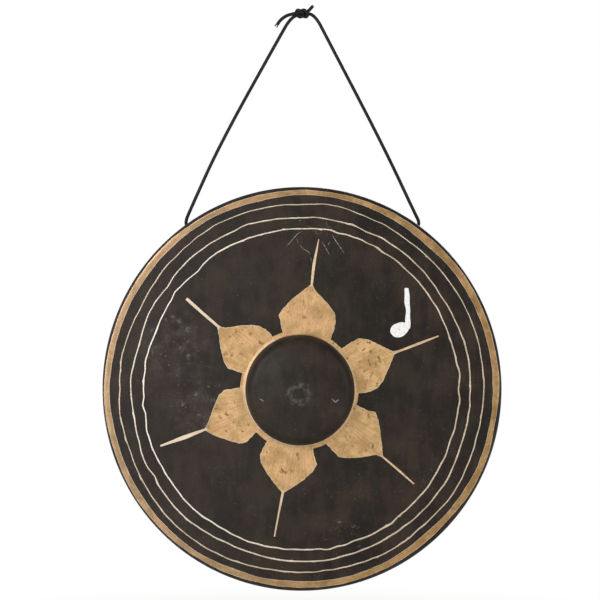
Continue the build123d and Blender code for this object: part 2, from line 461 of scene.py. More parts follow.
def weld_metal():
    """Weld beads, coloured by the heat."""
    made = Shader("weld_brass")
    heat = made.noise(90.0, 4.0, 0.65)
    made.colour = made.mix(made.ramp(heat, 0.35, 0.68), (0.22, 0.125, 0.055), (0.58, 0.41, 0.2))
    normal = made.bump(made.noise(1400.0, 2.0, 0.6), 0.25, 0.0002)
    return made.finish(Roughness=made.ramp(heat, 0.3, 0.7, 0.32, 0.58), Normal=normal, Metallic=0.9)


def cord_yarn():
    """Black yarn, with painted shade darkening the gaps of the braid."""
    made = Shader("black_braided_yarn")
    along = made.add("TexCoord").outputs["UV"]
    threads = made.noise(9.0, 3.0, 0.7, where=along)
    parts = made.add("SeparateXYZ", {"Vector": along}).outputs
    around = made.times(parts["Y"], math.pi * STRANDS)
    forward = made.times(parts["X"], math.pi * STRANDS * CORD / BRAID_PITCH)
    one = made.math("SINE", made.plus(around, forward))
    other = made.math("SINE", made.math("SUBTRACT", around, forward))
    braid_gap_shade = made.math("MINIMUM", made.math("ABSOLUTE", one), made.math("ABSOLUTE", other))
    made.colour = made.mix(made.ramp(threads, 0.35, 0.72), (0.003, 0.0028, 0.0025), (0.011, 0.01, 0.009))
    # painted shade: the colour goes darker in the gaps between the braid's strands
    made.over(made.ramp(braid_gap_shade, 0.1, 0.45, 0.85, 0.0), (0.0008, 0.0008, 0.0008))
    for socket, value in (("Specular IOR Level", 0.22), ("Sheen Weight", 0.01), ("Sheen Roughness", 0.5)):
        made.surface.inputs[socket].default_value = value
    normal = made.bump(made.noise(55.0, 2.0, 0.6, where=along), 0.35, 0.0002)
    return made.finish(Roughness=made.ramp(threads, 0.3, 0.7, 0.3, 0.52), Normal=normal)


LACQUER = lacquer("black_lacquer", gloss=0.21, painted_light_lift=0.0)
# the boss's wall: duller lacquer whose colour is lifted with painted light, so the steep wall does not read
# darker than the face
DULL_LACQUER = lacquer("dull_black_lacquer", gloss=0.02, painted_light_lift=0.35)
SCRATCH = mottled(  # something sharp has run over the lacquer and left a dull grey line
    "scratched_lacquer", (700.0, 3.0, 0.6), (0.38, 0.62),
    (0.06, 0.052, 0.045), (0.34, 0.31, 0.27), 0.6, (0.3, 0.0002),
)
TARNISH = mottled(  # brown old metal at the bottom of a gouge that the scraper passed over
    "gouge_tarnish", (420.0, 4.0, 0.65), (0.36, 0.64),
    (0.155, 0.085, 0.03), (0.42, 0.265, 0.115), 0.62, (0.5, 0.0004), metallic=0.6,
)
WHITE_PAINT = mottled(
    "white_brush_paint", (420.0, 3.0, 0.6, 1.2), (0.35, 0.7),
    (0.66, 0.655, 0.64), (0.86, 0.855, 0.84), 0.55, (0.4, 0.0003),
)
PETAL_BRASS = scraped_brass("petal_brass", (0.69, 0.455, 0.22), (0.47, 0.29, 0.125), 0.8, (0.42, 0.6), 0.0)
BAND_BRASS = scraped_brass(
    "band_brass", (0.47, 0.29, 0.122), (0.31, 0.18, 0.07), 0.4, (0.36, 0.58), 0.08, strokes=(420.0, 12.0)
)
STEM_BRASS = scraped_brass("stem_brass", (0.73, 0.56, 0.36), (0.57, 0.41, 0.24), 0.15, (0.45, 0.62), 0.4)
# the lines' pale shares are partly their own pale residue and partly painted light from the left, most on
# the inner line
OUTER_LINE_BRASS = line_brass("outer_line_brass", 0.08)
MIDDLE_LINE_BRASS = line_brass("middle_line_brass", 0.38)
INNER_LINE_BRASS = line_brass("inner_line_brass", 0.85)
AGED_BRASS = aged_brass()
WELD_METAL = weld_metal()
CORD_YARN = cord_yarn()


# --- camera, light and stage ---
CAMERA_DISTANCE = 2.3
VIEW_WIDTH = 0.7175  # what the frame takes in at the gong's widest
VIEW_ABOVE_CENTRE = 0.1063
VIEW_LEFT = 0.0023
FLOOR_BELOW = 0.1


def make_camera():
    data = bpy.data.cameras.new("camera")
    data.sensor_width = 36.0
    data.lens = data.sensor_width * CAMERA_DISTANCE / VIEW_WIDTH
    camera = bpy.data.objects.new("camera", data)
    front_y = PROFILE[WIDEST, 1] * MM - CAMERA_DISTANCE
    camera.location = (-VIEW_LEFT, front_y, CENTRE_Z * MM + VIEW_ABOVE_CENTRE)
    camera.rotation_euler = (math.pi / 2, 0, 0)
    bpy.context.scene.collection.objects.link(camera)
    bpy.context.scene.camera = camera


def area_light(name, at, size, power):
    data = bpy.data.lights.new(name, "AREA")
    data.shape = "RECTANGLE"
    data.size, data.size_y = size
    data.energy = power
    light = bpy.data.objects.new(name, data)
    light.location = at
    target = Vector((0, 0, CENTRE_Z * MM))
    light.rotation_euler = (target - light.location).to_track_quat("-Z", "Y").to_euler()
    bpy.context.scene.collection.objects.link(light)


def make_stage():
    """A pale floor that fades into a white backdrop."""
    floor_z = face_low.z - FLOOR_BELOW
    pale, white = Shader("pale_floor"), Shader("backdrop_white")
    pale.set(Base_Color=(0.86, 0.86, 0.855, 1), Roughness=0.8)
    away = pale.add("VectorMath", {0: pale.where}, operation="LENGTH").outputs["Value"]
    glow = pale.add("Emission", {"Strength": 1.0}).outputs[0]
    pale.show(pale.add("MixShader", {0: pale.ramp(away, 0.25, 0.75), 1: pale.surface.outputs[0], 2: glow}))
    white.show(white.add("Emission", {"Strength": 1.0}))
    bpy.ops.mesh.primitive_circle_add(vertices=96, radius=11.0, fill_type="NGON", location=(0, 0, floor_z))
    floor = bpy.context.object
    floor.name = "floor"
    floor.data.materials.append(pale.material)
    bpy.ops.mesh.primitive_uv_sphere_add(segments=48, ring_count=24, radius=12.0, location=(0, 0, floor_z))
    backdrop = bpy.context.object
    backdrop.name = "backdrop"
    backdrop.data.materials.append(white.material)
    for ray in ("diffuse", "glossy", "transmission", "shadow"):
        setattr(backdrop, "visible_" + ray, False)


def make_world():
    world = bpy.data.worlds.new("studio")
    bpy.context.scene.world = world
    world.use_nodes = True
    background = world.node_tree.nodes["Background"]
    background.inputs["Color"].default_value = (1.0, 0.99, 0.975, 1)
    background.inputs["Strength"].default_value = 0.56


make_camera()
make_world()
make_stage()
area_light("key", (-1.5, -2.0, 0.3), (1.6, 1.2), 34)  # place and size in metres, power in watts
area_light("fill", (1.9, -1.6, -0.2), (1.2, 1.6), 12.5)
area_light("back", (0.7, 1.9, 0.6), (1.4, 1.0), 22)
bpy.context.scene.view_settings.view_transform = "Standard"


# --- cord: one length, tied in a reef knot above and passing behind the gong's face below ---
REEF_BIGHT = [  # in cord thicknesses: along the knot, across it and through it
    (-1.9, 0.5, -0.5),
    (-0.75, 0.52, -0.05),
    (0.0, 0.78, 0.52),
    (0.78, 1.28, 0.05),
    (1.45, 0.88, -0.48),
    (1.72, 0.0, -0.6),
]
KNOT_TILT = math.radians(45)


def knot_point(along, across, through):
    """The knot is seen from 45 degrees above its flat side."""
    y = through * math.cos(KNOT_TILT) - across * math.sin(KNOT_TILT)
    z = through * math.sin(KNOT_TILT) + across * math.cos(KNOT_TILT)
    return KNOT_CENTRE + Vector((along, y, z)) * CORD


half_knot = REEF_BIGHT + [(u, -v, w) for u, v, w in reversed(REEF_BIGHT[:-1])]
left_bight = [knot_point(*p) for p in half_knot]
right_bight = [knot_point(-u, v, -w) for u, v, w in half_knot][::-1]
LEFT_TAIL = [
    (-29.9, -2.4, -8.4), (-27.0, -2.6, -4.1), (-22.6, -2.8, 0.1), (-16.9, -2.8, 3.3), (-11.5, -2.8, 4.5)
]
LEFT_LEG = [(-11.4, 0, 0.6), (-17.0, 0, -5.6), (-24.1, 0, -17.7), (-97.4, 0, -149.1), (-133.8, 0, -229.5)]
LEFT_HOLE = [(-140.7, 0, -246.2), (-135.16, 0, -253.91), (-119.36, 0, -256.71)]
RIGHT_HOLE = [(119.36, 0, -256.71), (135.16, 0, -253.91), (142.0, 0, -246.9)]
RIGHT_LEG = [(135.2, 0, -233.5), (97.6, 0, -153.2), (26.9, 0.4, -17.5), (19.8, 1.4, -3.4), (12.6, 2.4, 4.6)]
RIGHT_TAIL = [(9.6, 0.2, 10.5), (13.1, 0.0, 14.5)]
ROUTE = LEFT_TAIL + left_bight + LEFT_LEG + LEFT_HOLE + RIGHT_HOLE + RIGHT_LEG + right_bight + RIGHT_TAIL


def spline_points(name, route):
    """Points along a NURBS spline through the air near the route's points, in millimetres."""
    curve = bpy.data.curves.new(name, "CURVE")
    curve.dimensions = "3D"
    curve.resolution_u = 32
    spline = curve.splines.new("NURBS")
    spline.points.add(len(route) - 1)
    for point, at in zip(spline.points, route):
        point.co = (*(Vector(at) * MM), 1.0)
    spline.order_u = 3
    spline.use_endpoint_u = True
    holder = bpy.data.objects.new(name, curve)
    mesh = bpy.data.meshes.new_from_object(holder)
    points = np.array([v.co[:] for v in mesh.vertices]) / MM
    bpy.data.objects.remove(holder)
    bpy.data.curves.remove(curve)
    bpy.data.meshes.remove(mesh)
    return points


def distances(points):
    """How far along a line each of its points lies."""
    return np.concatenate([[0], np.cumsum(np.linalg.norm(np.diff(points, axis=0), axis=1))])


def evenly(points, spacing, more=1):
    """The same line with points at even distances, and how far along it they lie."""
    run = distances(points)
    at = np.linspace(0, run[-1], int(run[-1] / spacing) + more)
    return np.stack([np.interp(at, run, axis) for axis in points.T], -1), at


def carried_frames(points):
    """Two directions across the line at each point, carried along without twisting."""
    along = np.gradient(points, axis=0)
    along /= np.linalg.norm(along, axis=1)[:, None]
    side = np.cross(along[0], (0.0, 1.0, 0.0))
    sides = []
    for direction in along:
        side = side - direction * (side @ direction)
        side /= np.linalg.norm(side)
        sides.append(side)
    sides = np.array(sides)
    return sides, np.cross(along, sides)


def tube(centre, radius, around):
    """Rings of points round a line, at the angles given. radius has a row for each point of the line."""
    side, other = carried_frames(centre)
    ring = np.cos(around)[:, None] * side[:, None] + np.sin(around)[:, None] * other[:, None]
    return centre[:, None] + ring * radius[..., None]


def braid(run, around):
    """Height of a diamond braid's surface from -1 to 1, at a distance along it and an angle round it."""
    one = STRANDS * (around / 2 + math.pi * run / BRAID_PITCH)
    other = STRANDS * (around / 2 - math.pi * run / BRAID_PITCH)
    over = np.sign(np.sin(one) * np.sin(other))
    first, second = np.abs(np.sin(one)), np.abs(np.sin(other))
    return np.where(over > 0, first, second) ** 0.6 * 1.4 - 0.9


def make_cord():
    centre, run = evenly(spline_points("cord_route", ROUTE), 0.5)
    rows, columns = len(run), 36
    around = np.linspace(0, 2 * np.pi, columns, endpoint=False)
    radius = CORD / 2 * (1.0 + 0.05 * braid(run[:, None], around))
    to_end = np.minimum(run, run[-1] - run)
    radius *= (0.9 + 0.1 * smoothstep(0.0, 2.0, to_end))[:, None]
    points = tube(centre, radius, around)
    faces = grid_faces(rows, columns, wrap_columns=True, flip=True).tolist() + end_fans(rows, columns)
    dimples = [centre[0] + (centre[1] - centre[0]) * 1.2, centre[-1] + (centre[-2] - centre[-1]) * 1.2]
    points = np.concatenate([points.reshape(-1, 3), dimples])
    cord = make_mesh("hanging_cord", points, faces, [CORD_YARN])
    layer = cord.data.uv_layers.new(name="along_and_around")
    owner = np.zeros(len(cord.data.loops), np.int32)
    cord.data.loops.foreach_get("vertex_index", owner)
    along = np.append(np.repeat(run, columns), [0, run[-1]]) / CORD
    turn = np.append(np.tile(np.arange(columns) / columns, rows), [0, 0])
    layer.data.foreach_set("uv", np.stack([along[owner], turn[owner]], -1).ravel())
    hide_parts("cord_loop", "cord_knot", "cord_tail_left", "cord_tail_right")
    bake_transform(cord)


def make_fray(name, end, before, seed, length):
    """The yarns of the cord's cut end, parted into two tufts."""
    rng = np.random.default_rng(seed)
    end, before = np.array(end), np.array(before)
    ahead = (end - before) / np.linalg.norm(end - before)
    side = np.cross(ahead, (0.0, 1.0, 0.0))
    side /= np.linalg.norm(side)
    other = np.cross(ahead, side)
    around = np.arange(8) * np.pi / 4
    thickness = np.array([0.6, 0.68, 0.66, 0.55, 0.25])
    share = np.array([0.35, 0.65, 0.85, 1.0])
    points, faces = [], []
    for yarn in range(8):
        turn = math.pi * (yarn % 2) + rng.uniform(-0.8, 0.8)
        outward = side * math.cos(turn) + other * math.sin(turn)
        reach = length * rng.uniform(0.65, 1.0)
        aside = 1.0 + reach * rng.uniform(0.2, 0.4) * share**1.5
        line = end + ahead * (reach * share)[:, None] + outward * aside[:, None]
        line = np.concatenate([[end - ahead * 1.2 + outward], line])
        start = len(points) * len(line) * len(around)
        points.append(tube(line, thickness[:, None], around).reshape(-1, 3))
        faces += grid_faces(len(line), len(around), wrap_columns=True, start=start, flip=True).tolist()
        tip = start + (len(line) - 1) * len(around)
        faces += [list(range(start, start + len(around))), list(range(tip, tip + len(around)))[::-1]]
    fray = make_mesh(name, np.concatenate(points), faces, [CORD_YARN])
    fray.data.uv_layers.new(name="along_and_around")
    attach(fray, "knot")


make_cord()
make_fray("frayed_end_left", ROUTE[0], ROUTE[1], 81, 3.2)
make_fray("frayed_end_right", ROUTE[-1], ROUTE[-2], 82, 1.0)


# --- gong: face and rim ---
def make_face():
    """One closed sheet: the lacquered front, then the bare back, with the same hammer marks in both."""
    segments = 432
    angle = np.arange(segments) * 360.0 / segments
    front, front_normal = PROFILE[1:], NORMALS[1:]
    behind = slice(None, None, -2)
    outline = np.concatenate([front, (front - SHEET * front_normal)[behind]])
    normal = np.concatenate([front_normal, front_normal[behind]])
    source = np.concatenate([front[:, 0], front[:, 0][behind]])
    relief = face_relief(*polar(source[:, None], angle[None]))
    radius = np.maximum(outline[:, :1] + relief * normal[:, :1], 0.2)
    y = outline[:, 1:] + relief * normal[:, 1:]
    x, z = polar(radius, angle[None])
    rows = len(outline)
    faces = grid_faces(rows, segments, wrap_columns=True).tolist() + end_fans(rows, segments)
    poles = [place(0.0, BOSS_TOP, 0.0), place(0.0, BOSS_TOP + SHEET, 0.0)]
    points = np.concatenate([place(x, y, z).reshape(-1, 3), poles])
    bare_from = len(front) * segments
    corner = (front[:, 0] > BOSS_RADIUS - BOSS_DRAFT - 1.0) & (front[:, 0] < BOSS_RADIUS + 0.5)
    dull_rows = set(np.flatnonzero(corner).tolist())
    finish = []
    for first, *_ in faces:
        bare = first >= bare_from - segments and first != rows * segments
        finish.append(1 if bare else 2 * (first // segments in dull_rows))
    face = make_mesh("hammered_face", points, faces, [LACQUER, AGED_BRASS, DULL_LACQUER], finish)
    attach(face, "gong")
    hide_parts("gong_face")


RIM_WAVES = [turns(seed, 2, 9, 0.28) for seed in (41, 42, 43)]
rim_rng = np.random.default_rng(31)
rim_limits = ((-180, 180), (JOINT_Y + 4, BACK_Y), (0.05, 0.16), (5.0, 9.0))  # angle, y, depth and width
RIM_MARKS = np.stack([rim_rng.uniform(*limits, 520) for limits in rim_limits], -1)


def rim_relief(angle, y):
    relief = np.zeros_like(angle)
    for mark_angle, mark_y, depth, width in RIM_MARKS:
        off = (angle - mark_angle + 180) % 360 - 180
        along = np.radians(off) * GONG_RADIUS
        near = (np.abs(along) < 4 * width) & (np.abs(y - mark_y) < 4 * width)
        square = along[near] ** 2 + (y[near] - mark_y) ** 2
        relief[near] -= depth * np.exp(-square / (2 * width**2))
    for wave, ring in zip(RIM_WAVES, (5.0, 35.0, 66.0)):
        relief += wave(angle) * np.exp(-(((y - ring) / 22.0) ** 2))
    for side in (-1, 1):  # the wall is flat round the cord's holes
        along = np.radians((angle - 90 - side * HOLE_ANGLE + 180) % 360 - 180) * GONG_RADIUS
        relief *= smoothstep(7.0, 18.0, np.hypot(along, y))
    return relief * smoothstep(JOINT_Y, JOINT_Y + 10.0, y)


def on_rim(angle, y, depth):
    """Points of the rim's wall. depth is 0 on its outside and 1 on its inside."""
    angle, y, depth = np.broadcast_arrays(*(np.asarray(v, float) for v in (angle, y, depth)))
    radius = rim_outer(y) - ACROSS * depth + rim_relief(angle, y)
    x, z = polar(radius, angle)
    return place(x, y, z)


def make_rim():
    """A closed band with the two cord holes, each cut in a square window of the grid and edged round."""
    segments, window = 480, 5
    rows = np.append(np.arange(JOINT_Y, BACK_Y - 1.0, 3.0), BACK_Y - 0.5)
    angles = np.arange(segments) * 360.0 / segments
    outside = [(y, 0.0) for y in rows] + [(BACK_Y, 0.25)]
    inside = [(BACK_Y, 0.75)] + [(y, 1.0) for y in rows[::-1]]
    loop = np.array(outside + inside)
    inner_row = len(loop) - 1
    points = [on_rim(angles[None], loop[:, :1], loop[:, 1:]).reshape(-1, 3)]
    corner = [(0, k) for k in range(window)] + [(k, window) for k in range(window)]
    border = np.array(corner + [(window - r, window - c) for r, c in corner])
    to_round = [(0.0, 0.34), (0.0, 0.68), (0.0, 1.0), (0.22, 1.0)]  # depth, and share of square turned round
    levels = to_round + [(1.0 - depth, share) for depth, share in to_round[::-1]]
    cut, rings, ring_finish = set(), [], []
    for side in (-1, 1):
        hole = 90 + side * HOLE_ANGLE
        first = int(round(hole / 360 * segments - window / 2))
        for r in range(window):
            for row in (r, inner_row - 1 - r):
                cut |= set(range(row * segments + first, row * segments + first + window))
        r, c = border[:, 0], border[:, 1] + first
        across = np.radians(angles[c] - hole) * GONG_RADIUS
        along = loop[r, 0]
        turn = np.arctan2(along, across)
        start = sum(map(len, points))
        for depth, share in levels:
            size = HOLE_RADIUS + (0.5 if depth in (0.0, 1.0) else 0.0)  # the hole's edges are broken
            u = across * (1 - share) + size * np.cos(turn) * share
            v = along * (1 - share) + size * np.sin(turn) * share
            points.append(on_rim(hole + np.degrees(u / GONG_RADIUS), v, depth))
        chains = [start + k * len(r) + np.arange(len(r)) for k in range(len(levels))]
        chains = [r * segments + c, *chains, (inner_row - r) * segments + c]
        for level, (one, two) in enumerate(zip(chains, chains[1:])):
            rings += np.stack([one, np.roll(one, -1), np.roll(two, -1), two], -1).tolist()
            ring_finish += [int(level >= 3)] * len(r)
    quads = grid_faces(len(loop), segments, wrap_rows=True, wrap_columns=True)
    kept = [n for n in range(len(quads)) if n not in cut]
    finish = [int(n // segments >= len(outside)) for n in kept] + ring_finish
    faces = quads[kept].tolist() + rings
    rim = make_mesh("hammered_rim", np.concatenate(points), faces, [LACQUER, AGED_BRASS], finish)
    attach(rim, "gong")
    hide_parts("gong_rim")


make_face()
make_rim()


def bead(name, centre, across, out, node, ripple=2.3, closed=False):
    """A weld bead along a line: its half-round section swells and sinks with the welder's steps."""
    count = len(centre)
    run = distances(centre)
    wobble = np.random.default_rng(len(name)).normal(0, 1, count)
    kernel = np.hanning(15) / np.hanning(15).sum()
    wobble = np.convolve(np.concatenate([wobble[-7:], wobble, wobble[:7]]), kernel, mode="valid")
    section = np.linspace(0, np.pi, 9)
    phase = 2 * np.pi * run[:, None] / ripple + 1.6 * np.abs(np.cos(section))[None]
    height = 1.25 + 0.16 * np.sin(phase) + 0.25 * wobble[:, None]
    width = 2.3 + 0.12 * np.sin(phase) + 0.35 * wobble[:, None]
    if not closed:
        taper = smoothstep(0, 3, np.minimum(run, run[-1] - run))[:, None]
        height, width = height * (0.15 + 0.85 * taper), width * (0.25 + 0.75 * taper)
    top = centre[:, None] + across[:, None] * (width * np.cos(section))[..., None]
    top = top + out[:, None] * (height * np.sin(section) - 0.15)[..., None]
    base = (centre - out * 0.6)[:, None]
    points = np.concatenate([top, base], axis=1)
    columns = points.shape[1]
    faces = grid_faces(count, columns, wrap_rows=closed, wrap_columns=True).tolist()
    if not closed:
        faces += [list(range(columns)), list(range((count - 1) * columns, count * columns))[::-1]]
    made = make_mesh(name, points.reshape(-1, 3), faces, [WELD_METAL])
    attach(made, "gong")
    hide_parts(node)


def make_welds():
    angle = np.linspace(0, 360, 2600, endpoint=False)
    centre = on_rim(angle, JOINT_Y, 1.0)
    across, up = polar(1.0, angle)
    outward = np.stack([across, 0 * angle, up], -1)
    lean = (math.sin(RIM_TAPER), math.cos(RIM_TAPER))
    along_wall = -outward * lean[0] + np.array([0, lean[1], 0])
    inward = -outward * lean[1] - np.array([0, lean[0], 0])
    bead("rim_weld_bead", centre, along_wall, inward, "rim_weld", closed=True)
    y = np.linspace(JOINT_Y + 3.6, BACK_Y - 2.0, 170)
    centre = on_rim(SEAM_ANGLE + 0.06 * np.sin(y / 4.0), y, 1.0)
    around = np.radians(SEAM_ANGLE)
    sideways = np.tile([-math.sin(around), 0.0, math.cos(around)], (len(y), 1))
    inward = np.tile([-math.cos(around) * lean[1], -lean[0], -math.sin(around) * lean[1]], (len(y), 1))
    bead("seam_weld_bead", centre, sideways, inward, "rim_seam_weld")


make_welds()


# --- decoration: brass scraped bare, and one painted mark ---
def slab(name, top, bottom, material, wrap=False):
    """A thin closed piece between two grids of points."""
    rows, columns = top.shape[:2]
    count = rows * columns
    faces = grid_faces(rows, columns, wrap_rows=wrap, flip=True).tolist()
    faces += grid_faces(rows, columns, wrap_rows=wrap, start=count).tolist()

    def wall(one, two, flip):
        quad = [one, two, two + count, one + count]
        faces.append(quad[::-1] if flip else quad)

    for i in range(rows if wrap else rows - 1):
        after = (i + 1) % rows
        wall(i * columns, after * columns, False)
        wall((i + 1) * columns - 1, (after + 1) * columns - 1, True)
    for i, flip in () if wrap else ((0, True), (rows - 1, False)):
        for j in range(columns - 1):
            wall(i * columns + j, i * columns + j + 1, flip)
    made = make_mesh(name, np.concatenate([top.reshape(-1, 3), bottom.reshape(-1, 3)]), faces, [material])
    made.data.set_sharp_from_angle(angle=math.radians(40))
    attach(made, "gong")
    return made


def on_face_slab(name, radius, angle, material, wrap=False, raise_by=RAISE):
    top = on_face(radius, angle, raise_by)
    return slab(name, top, on_face(radius, angle, -SINK), material, wrap)


def laid_on_face(name, x, z, material, wrap=False, raise_by=RAISE):
    """A thin piece at places measured from the middle of the hand-made gong."""
    x, z = as_drawn(x, z)
    radius = np.minimum(np.hypot(x, z), GONG_RADIUS - BLACK_EDGE)
    return on_face_slab(name, radius, np.degrees(np.arctan2(z, x)), material, wrap, raise_by)


def painted_edge_highlights(piece, rows, strips):
    """Paints a highlight on the outermost strips of a scraped piece's top: paler brass where the edges would
    catch the light.
    """
    piece.data.materials.append(MIDDLE_LINE_BRASS)
    for face in piece.data.polygons[: rows * strips]:
        face.material_index = int(face.index % strips in (0, strips - 1))


def ring_between(name, inner, outer, material, share, with_edge_highlights=False, count=1440):
    """A ring on the face, from one wavy edge to another. The shares are its lines across, from 0 to 1."""
    angle = np.arange(count) * 360.0 / count
    radius = inner(angle)[:, None] * (1 - share) + outer(angle)[:, None] * share
    x, z = polar(radius, angle[:, None])
    ring = laid_on_face(name, x + RINGS_OFF[0], z + RINGS_OFF[1], material, wrap=True)
    # painted highlight on the ring's two edge strips
    if with_edge_highlights:
        painted_edge_highlights(ring, count, len(share) - 1)


def drawn_by_hand(bends):
    """A ring's radius at any angle, from the angles and radii where the hand changed course."""
    angles, radii = np.array(bends, float).T
    return lambda angle: np.interp(angle, angles, radii, period=360)


def slips(seed, count, size):
    """How far the scraper slipped aside at an angle, in a few short places round a ring."""
    rng = np.random.default_rng(seed)
    middles, reach = rng.uniform(0, 360, count), rng.uniform(0.4, 1.1, count)
    aside = rng.uniform(0.3, 1.0, count) * size

    def slip(angle):
        away = (np.asarray(angle, float)[..., None] - middles + 180) % 360 - 180
        return (aside * np.exp(-((away / reach) ** 2))).sum(axis=-1)

    return slip


def scraped_line(name, seed, width, shakiness, material, bends):
    """A line scraped by hand: it shakes, slips at times, and is broadest at the gong's lower right."""
    radius = drawn_by_hand(bends)
    shake, thick = turns(seed, 12, 70, shakiness), turns(seed + 1, 5, 90, 0.13)
    slip_in, slip_out = slips(seed + 7, 9, 0.9), slips(seed + 8, 9, 0.9)
    middle = lambda angle: radius(angle) + shake(angle)
    half_width = lambda angle: width / 2 + 0.1 * np.cos(np.radians(angle - 300))
    inner = lambda angle: middle(angle) - half_width(angle) - thick(angle) - slip_in(angle)
    outer = lambda angle: middle(angle) + half_width(angle) + thick(angle + 40) + slip_out(angle)
    ring_between(name, inner, outer, material, np.linspace(0, 1, 4))


COLLAR_RADIUS = 71.2


def make_boss_collar():
    """The scraped ring round the boss's foot, a little wider on the left."""
    edge = turns(53, 3, 24, 0.35)
    angle = np.arange(720) * 0.5
    outer = COLLAR_RADIUS - 1.0 * np.cos(np.radians(angle)) + edge(angle)
    share = np.array([0.0, 0.16, 0.6, 1.0])
    radius = BOSS_RADIUS * (1 - share) + outer[:, None] * share
    angles = np.repeat(angle[:, None], len(share), 1)
    collar = on_face_slab("scraped_boss_collar", radius, angles, PETAL_BRASS, wrap=True)
    collar.data.materials.append(MIDDLE_LINE_BRASS)
    for row in np.flatnonzero((angle < 60) | (angle > 112)):  # painted highlight: a paler line against the boss, where its edge would catch the light, not at the top
        collar.data.polygons[int(row) * 3].material_index = 1


# the rings: (angle, radius) wherever the scraper changed course, from the rings' middle
BAND_INNER = [
    (0, 227.5), (39, 228), (48, 226.5), (72, 230.5), (87, 231.5), (104, 229.5), (118, 230.5), (148, 228.5),
    (169, 228.5), (183, 230), (196, 229), (215, 230), (237, 231.5), (249, 229.5), (258, 230.5), (266, 229.5),
    (285, 230.5), (296, 229), (311, 226.5), (334, 228.5),
]
BAND_OUTER = [
    (0, 235), (14, 235), (24, 235), (34, 236), (51, 235.5), (74, 236.5), (90, 237), (110, 236.5),
    (126, 236.5), (136, 237), (150, 235.5), (166, 235), (181, 236.5), (203, 236), (214, 237.5), (265, 237),
    (282, 237.5), (318, 234), (325, 235.5), (340, 235.5), (350, 233.5),
]
LINES = [  # name, seed, width, shakiness, brass and course
    ("outer", 61, 1.2, 0.3, OUTER_LINE_BRASS, [
        (0, 216.5), (21, 217.5), (54, 217), (72, 219.5), (79, 222), (92, 220), (115, 221), (155, 215.5),
        (169, 218.5), (180, 217.5), (188, 219.5), (197, 218), (230, 222.5), (258, 219.5), (267, 218.5),
        (304, 219.5), (310, 217.5), (326, 219), (343, 216),
    ]),
    ("middle", 63, 1.44, 0.3, MIDDLE_LINE_BRASS, [
        (0, 200.5), (11, 201.5), (32, 199), (46, 201.5), (62, 203), (68, 202.5), (72, 204), (86, 205),
        (92, 203.5), (108, 206.5), (113, 205), (136, 204.5), (143, 201.5), (153, 204), (163, 201.5),
        (178, 204.5), (190, 203), (204, 206.5), (211, 205), (216, 207), (228, 207.5), (245, 204.5),
        (254, 205), (277, 206.5), (292, 205), (326, 204), (340, 201),
    ]),
    ("inner", 65, 1.5, 0.45, INNER_LINE_BRASS, [
        (0, 187), (5, 188), (19, 186), (82, 192), (95, 190.5), (125, 191), (131, 188), (143, 190),
        (146, 188.5), (158, 187.5), (167, 189), (183, 189), (186, 191), (189, 189), (195, 192), (206, 191.5),
        (229, 193), (245, 192), (253, 193), (272, 191.5), (278, 193.5), (293, 192), (304, 192.5), (309, 190),
        (322, 190), (337, 187.5), (355, 188),
    ]),
]


def make_rings():
    """The bright band at the edge and three lines inside it, all scraped by eye and far from round."""
    band_inner, band_outer = drawn_by_hand(BAND_INNER), drawn_by_hand(BAND_OUTER)
    ragged = turns(51, 12, 80, 0.22)
    inner = lambda angle: band_inner(angle) + ragged(angle)
    outer = lambda angle: band_outer(angle) + ragged(angle + 90)
    share = np.concatenate([[0.0], np.linspace(0.05, 0.95, 10), [1.0]])
    # the band's edges get a painted highlight
    ring_between("scraped_edge_band", inner, outer, BAND_BRASS, share, with_edge_highlights=True)
    for name, *line in LINES:
        scraped_line("scraped_line_" + name, *line)


PETAL_FOOT = 67.3  # the petals' feet lie on the boss's collar, this far from its middle
STATIONS = (76, 85, 94, 106, 118, 125, 150)  # distances out, between a petal's foot and its stem's end
PETALS = [  # direction, stem's end, and half widths from foot to end: the clockwise side, then the other
    (21.5, 175, (28.5, 32.5, 31.5, 26, 14, 1.5, 1.5, 2, 1.5), (26.5, 30.5, 31.5, 27, 14.5, 2, 1, 1, 0)),
    (85, 180, (26.5, 32, 33, 31, 20, 6, 2, 3, 5), (26.5, 31.5, 35.5, 31, 21, 8, 0.5, 0.5, -4)),
    (143, 175, (26.5, 30.5, 30, 25, 15, 2.5, 1, 3, 5), (24.5, 29, 33.5, 29.5, 20, 8, 2, 0.5, -1.5)),
    (202.5, 182, (27.5, 31, 34.5, 31.5, 20, 6.5, 1, 3, 3), (25.5, 27.5, 33, 31, 21.5, 10.5, 1.5, 2, -1)),
    (260, 179, (27, 32, 35.5, 33.5, 23.5, 11, 2.5, 2.5, 2.5), (24, 26.5, 33, 30, 21, 8.5, 0.5, -0.5, -1)),
    (320.5, 175, (31.5, 33, 34.5, 29, 18, 4, 2, 2.5, 3), (25.5, 29.5, 34.5, 29.5, 18.5, 7, 0, 0, -1.5)),
]
STEM_FROM = 122.0  # the paler stem starts this far out
# width of the painted highlight along a petal's outline
HIGHLIGHT_EDGE_WIDTH = 0.45


